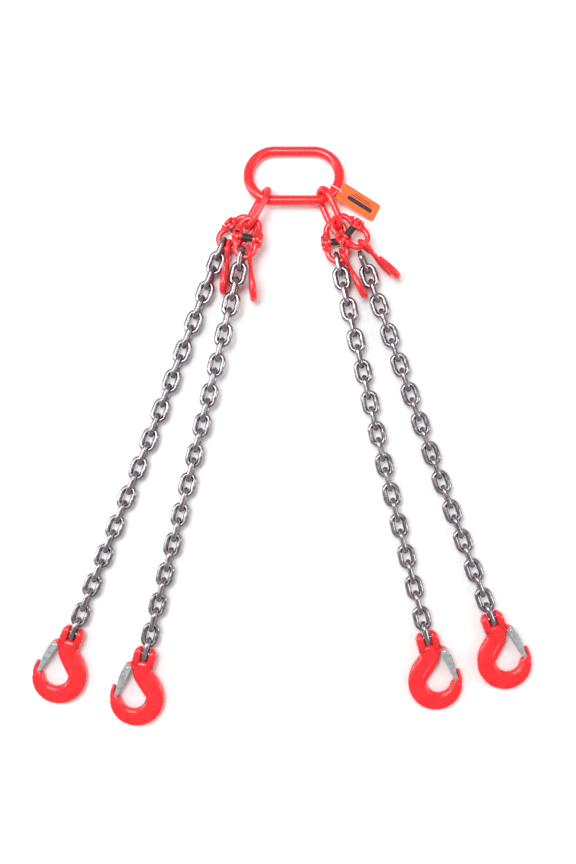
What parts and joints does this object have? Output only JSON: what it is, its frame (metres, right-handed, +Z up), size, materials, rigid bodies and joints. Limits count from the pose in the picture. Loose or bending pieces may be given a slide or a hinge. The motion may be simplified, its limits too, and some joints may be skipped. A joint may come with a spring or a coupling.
{
  "type": "four leg chain sling",
  "caption": "Chain sling for lifting: an oval master link, intermediate links and connectors carry chain legs with shortening hooks and latched clevis sling hooks.",
  "frame": {"origin": "on the floor, in the middle of the sling's plan as it is laid out", "axes": "+X to the right, +Y towards the master link (the hooks are at -Y), +Z up off the floor"},
  "size_m": [0.7681, 0.8916, 0.0504],
  "materials": {
    "red": "glossy red powder coat",
    "chain": "dark oiled alloy steel",
    "pin": "dark steel pin",
    "sleeve": "black",
    "latch": "bright zinc plated sheet steel",
    "zinc": "bright zinc plated steel",
    "tag": "orange",
    "tie": "white"
  },
  "bodies": {
    "master": {"master_link": "red"},
    "tie": {"tag_tie": "tie"},
    "tag": {"identity_tag": "tag"},
    "link_left": {"intermediate_link_left": "red"},
    "link_right": {"intermediate_link_right": "red"},
    "leg1_upper_half": {"leg1_hammerlock_upper_half": "red", "leg1_load_pin": "pin", "leg1_centring_sleeve": "sleeve"},
    "leg1_lower_half": {"leg1_hammerlock_lower_half": "red"},
    "leg1_first_link": {"leg1_first_chain_link": "chain"},
    "leg1_upper_chain": {"leg1_upper_chain": "chain"},
    "leg1_lower_chain": {"leg1_lower_chain": "chain"},
    "leg1_shortening_hook": {"leg1_shortening_hook": "red"},
    "leg1_sling_hook": {"leg1_sling_hook": "red", "leg1_clevis_pin": "pin", "leg1_latch_rivet": "zinc", "leg1_latch_spring": "zinc"},
    "leg1_latch": {"leg1_latch": "latch"},
    "leg2_upper_half": {"leg2_hammerlock_upper_half": "red", "leg2_load_pin": "pin", "leg2_centring_sleeve": "sleeve"},
    "leg2_lower_half": {"leg2_hammerlock_lower_half": "red"},
    "leg2_first_link": {"leg2_first_chain_link": "chain"},
    "leg2_upper_chain": {"leg2_upper_chain": "chain"},
    "leg2_lower_chain": {"leg2_lower_chain": "chain"},
    "leg2_shortening_hook": {"leg2_shortening_hook": "red"},
    "leg2_sling_hook": {"leg2_sling_hook": "red", "leg2_clevis_pin": "pin", "leg2_latch_rivet": "zinc", "leg2_latch_spring": "zinc"},
    "leg2_latch": {"leg2_latch": "latch"},
    "leg3_upper_half": {"leg3_hammerlock_upper_half": "red", "leg3_load_pin": "pin", "leg3_centring_sleeve": "sleeve"},
    "leg3_lower_half": {"leg3_hammerlock_lower_half": "red"},
    "leg3_first_link": {"leg3_first_chain_link": "chain"},
    "leg3_upper_chain": {"leg3_upper_chain": "chain"},
    "leg3_lower_chain": {"leg3_lower_chain": "chain"},
    "leg3_shortening_hook": {"leg3_shortening_hook": "red"},
    "leg3_sling_hook": {"leg3_sling_hook": "red", "leg3_clevis_pin": "pin", "leg3_latch_rivet": "zinc", "leg3_latch_spring": "zinc"},
    "leg3_latch": {"leg3_latch": "latch"},
    "leg4_upper_half": {"leg4_hammerlock_upper_half": "red", "leg4_load_pin": "pin", "leg4_centring_sleeve": "sleeve"},
    "leg4_lower_half": {"leg4_hammerlock_lower_half": "red"},
    "leg4_first_link": {"leg4_first_chain_link": "chain"},
    "leg4_upper_chain": {"leg4_upper_chain": "chain"},
    "leg4_lower_chain": {"leg4_lower_chain": "chain"},
    "leg4_shortening_hook": {"leg4_shortening_hook": "red"},
    "leg4_sling_hook": {"leg4_sling_hook": "red", "leg4_clevis_pin": "pin", "leg4_latch_rivet": "zinc", "leg4_latch_spring": "zinc"},
    "leg4_latch": {"leg4_latch": "latch"}
  },
  "joints": [
    {"name": "link_left_on_master", "type": "hinge", "parent": "master", "child": "link_left", "pos_m": [-0.02862, 0.36355, 0.0206], "axis": [0.9049, -0.4195, 0.0722], "range_deg": [-15, 2]},
    {"name": "link_right_on_master", "type": "hinge", "parent": "master", "child": "link_right", "pos_m": [0.065, 0.36345, 0.02062], "axis": [0.9074, 0.4141, -0.0713], "range_deg": [-15, 2]},
    {"name": "tie_on_master", "type": "hinge", "parent": "master", "child": "tie", "pos_m": [0.08201, 0.37824, 0.01807], "axis": [0.5299, 0.848, 0], "range_deg": [-10, 10]},
    {"name": "tag_on_tie", "type": "hinge", "parent": "tie", "child": "tag", "pos_m": [0.09137, 0.37239, 0.02298], "axis": [0.4695, 0.8829, 0], "range_deg": [-6, 0]},
    {"name": "leg1_upper_half_on_link", "type": "hinge", "parent": "link_left", "child": "leg1_upper_half", "pos_m": [-0.05422, 0.32504, 0.01164], "axis": [-0.1048, -0.6894, 0.7168], "range_deg": [-6, 0]},
    {"name": "leg1_halves_on_load_pin", "type": "hinge", "parent": "leg1_upper_half", "child": "leg1_lower_half", "pos_m": [-0.0703, 0.31126, 0.01591], "axis": [0.6174, -0.7815, 0.0905], "range_deg": [0, 15]},
    {"name": "leg1_first_link_on_bow", "type": "hinge", "parent": "leg1_lower_half", "child": "leg1_first_link", "pos_m": [-0.09661, 0.29793, 0.01375], "axis": [0.9109, -0.3797, 0.1614], "range_deg": [-1, 0]},
    {"name": "leg1_upper_chain_on_first_link", "type": "hinge", "parent": "leg1_first_link", "child": "leg1_upper_chain", "pos_m": [-0.09937, 0.271, 0.01601], "axis": [-0.1481, 0.0506, 0.9877], "range_deg": [-3, 0]},
    {"name": "leg1_lower_chain_on_upper", "type": "hinge", "parent": "leg1_upper_chain", "child": "leg1_lower_chain", "pos_m": [-0.20926, -0.02092, 0.0139], "axis": [0.9236, -0.3499, 0.1564], "range_deg": [-12, 12]},
    {"name": "leg1_shortening_hook_on_bow", "type": "hinge", "parent": "leg1_lower_half", "child": "leg1_shortening_hook", "pos_m": [-0.08116, 0.28699, 0.0157], "axis": [-0.9885, 0.117, -0.0955], "range_deg": [-15, 0]},
    {"name": "leg1_sling_hook_on_clevis_pin", "type": "hinge", "parent": "leg1_lower_chain", "child": "leg1_sling_hook", "pos_m": [-0.31965, -0.30229, 0.01395], "axis": [0.9272, -0.3746, 0], "range_deg": [-45, 45]},
    {"name": "leg1_latch_pivot", "type": "hinge", "parent": "leg1_sling_hook", "child": "leg1_latch", "pos_m": [-0.34868, -0.31888, 0.01248], "axis": [-0.0209, -0.0518, 0.9984], "range_deg": [0, 35], "stiffness_Nm_per_rad": 0.02},
    {"name": "leg2_upper_half_on_link", "type": "hinge", "parent": "link_left", "child": "leg2_upper_half", "pos_m": [-0.04582, 0.32327, 0.03589], "axis": [0.5548, 0.5944, 0.5821], "range_deg": [0, 4]},
    {"name": "leg2_halves_on_load_pin", "type": "hinge", "parent": "leg2_upper_half", "child": "leg2_lower_half", "pos_m": [-0.05223, 0.30107, 0.03052], "axis": [0.9753, -0.2165, 0.0435], "range_deg": [-15, 0]},
    {"name": "leg2_first_link_on_bow", "type": "hinge", "parent": "leg2_lower_half", "child": "leg2_first_link", "pos_m": [-0.06771, 0.2776, 0.03201], "axis": [0.9562, -0.1941, 0.2192], "range_deg": [-5, 5]},
    {"name": "leg2_upper_chain_on_first_link", "type": "hinge", "parent": "leg2_first_link", "child": "leg2_upper_chain", "pos_m": [-0.064, 0.25278, 0.0279], "axis": [-0.1639, -0.0118, 0.9864], "range_deg": [0, 4]},
    {"name": "leg2_lower_chain_on_upper", "type": "hinge", "parent": "leg2_upper_chain", "child": "leg2_lower_chain", "pos_m": [-0.1375, -0.04526, 0.0139], "axis": [0.9577, -0.2417, 0.1562], "range_deg": [0, 12]},
    {"name": "leg2_shortening_hook_on_bow", "type": "hinge", "parent": "leg2_lower_half", "child": "leg2_shortening_hook", "pos_m": [-0.04837, 0.27325, 0.03288], "axis": [-0.993, -0.1012, 0.0604], "range_deg": [-15, 12]},
    {"name": "leg2_sling_hook_on_clevis_pin", "type": "hinge", "parent": "leg2_lower_chain", "child": "leg2_sling_hook", "pos_m": [-0.20899, -0.334, 0.01437], "axis": [0.9668, -0.2554, 0], "range_deg": [-45, 45]},
    {"name": "leg2_latch_pivot", "type": "hinge", "parent": "leg2_sling_hook", "child": "leg2_latch", "pos_m": [-0.23572, -0.3541, 0.0129], "axis": [-0.0143, -0.054, 0.9984], "range_deg": [0, 35], "stiffness_Nm_per_rad": 0.02},
    {"name": "leg3_upper_half_on_link", "type": "hinge", "parent": "link_right", "child": "leg3_upper_half", "pos_m": [0.08084, 0.31808, 0.0128], "axis": [0.5009, -0.3913, 0.772], "range_deg": [-6, 2]},
    {"name": "leg3_halves_on_load_pin", "type": "hinge", "parent": "leg3_upper_half", "child": "leg3_lower_half", "pos_m": [0.0837, 0.2976, 0.01707], "axis": [0.9931, 0.0942, 0.0697], "range_deg": [0, 15]},
    {"name": "leg3_first_link_on_bow", "type": "hinge", "parent": "leg3_lower_half", "child": "leg3_first_link", "pos_m": [0.07693, 0.27002, 0.01585], "axis": [0.9636, 0.2263, 0.1426], "range_deg": [-3, 3]},
    {"name": "leg3_upper_chain_on_first_link", "type": "hinge", "parent": "leg3_first_link", "child": "leg3_upper_chain", "pos_m": [0.09023, 0.24762, 0.01682], "axis": [-0.1506, -0.0432, 0.9877], "range_deg": [-4, 1]},
    {"name": "leg3_lower_chain_on_upper", "type": "hinge", "parent": "leg3_upper_chain", "child": "leg3_lower_chain", "pos_m": [0.16063, -0.05992, 0.0139], "axis": [0.9631, 0.2192, 0.1564], "range_deg": [-12, 12]},
    {"name": "leg3_shortening_hook_on_bow", "type": "hinge", "parent": "leg3_lower_half", "child": "leg3_shortening_hook", "pos_m": [0.09639, 0.27266, 0.01724], "axis": [-0.8825, -0.4606, -0.0955], "range_deg": [-15, 4]},
    {"name": "leg3_sling_hook_on_clevis_pin", "type": "hinge", "parent": "leg3_lower_chain", "child": "leg3_sling_hook", "pos_m": [0.22209, -0.30951, 0.01398], "axis": [0.9677, 0.2521, 0], "range_deg": [-45, 45]},
    {"name": "leg3_latch_pivot", "type": "hinge", "parent": "leg3_sling_hook", "child": "leg3_latch", "pos_m": [0.24874, -0.32971, 0.01251], "axis": [-0.0141, 0.054, -0.9984], "range_deg": [0, 35], "stiffness_Nm_per_rad": 0.02},
    {"name": "leg4_upper_half_on_link", "type": "hinge", "parent": "link_right", "child": "leg4_upper_half", "pos_m": [0.08724, 0.32589, 0.03559], "axis": [-0.1351, 0.8371, 0.5301], "range_deg": [-2, 2]},
    {"name": "leg4_halves_on_load_pin", "type": "hinge", "parent": "leg4_upper_half", "child": "leg4_lower_half", "pos_m": [0.10327, 0.31036, 0.03039], "axis": [0.6186, 0.7821, -0.0749], "range_deg": [-15, 0]},
    {"name": "leg4_first_link_on_bow", "type": "hinge", "parent": "leg4_lower_half", "child": "leg4_first_link", "pos_m": [0.11808, 0.2864, 0.0326], "axis": [0.9112, 0.3315, 0.2446], "range_deg": [-5, 5]},
    {"name": "leg4_upper_chain_on_first_link", "type": "hinge", "parent": "leg4_first_link", "child": "leg4_upper_chain", "pos_m": [0.13199, 0.2518, 0.01537], "axis": [-0.143, -0.0648, 0.9876], "range_deg": [-1, 4]},
    {"name": "leg4_lower_chain_on_upper", "type": "hinge", "parent": "leg4_upper_chain", "child": "leg4_lower_chain", "pos_m": [0.23403, -0.04222, 0.0139], "axis": [0.9329, 0.3244, 0.1564], "range_deg": [-12, 12]},
    {"name": "leg4_shortening_hook_on_bow", "type": "hinge", "parent": "leg4_lower_half", "child": "leg4_shortening_hook", "pos_m": [0.12506, 0.28968, 0.03227], "axis": [-0.6706, -0.7418, -0.0017], "range_deg": [-15, 12]},
    {"name": "leg4_sling_hook_on_clevis_pin", "type": "hinge", "parent": "leg4_lower_chain", "child": "leg4_sling_hook", "pos_m": [0.32155, -0.27966, 0.01403], "axis": [0.9379, 0.3469, 0], "range_deg": [-45, 45]},
    {"name": "leg4_latch_pivot", "type": "hinge", "parent": "leg4_sling_hook", "child": "leg4_latch", "pos_m": [0.35007, -0.29711, 0.01256], "axis": [-0.0194, 0.0524, -0.9984], "range_deg": [0, 35], "stiffness_Nm_per_rad": 0.02}
  ]
}
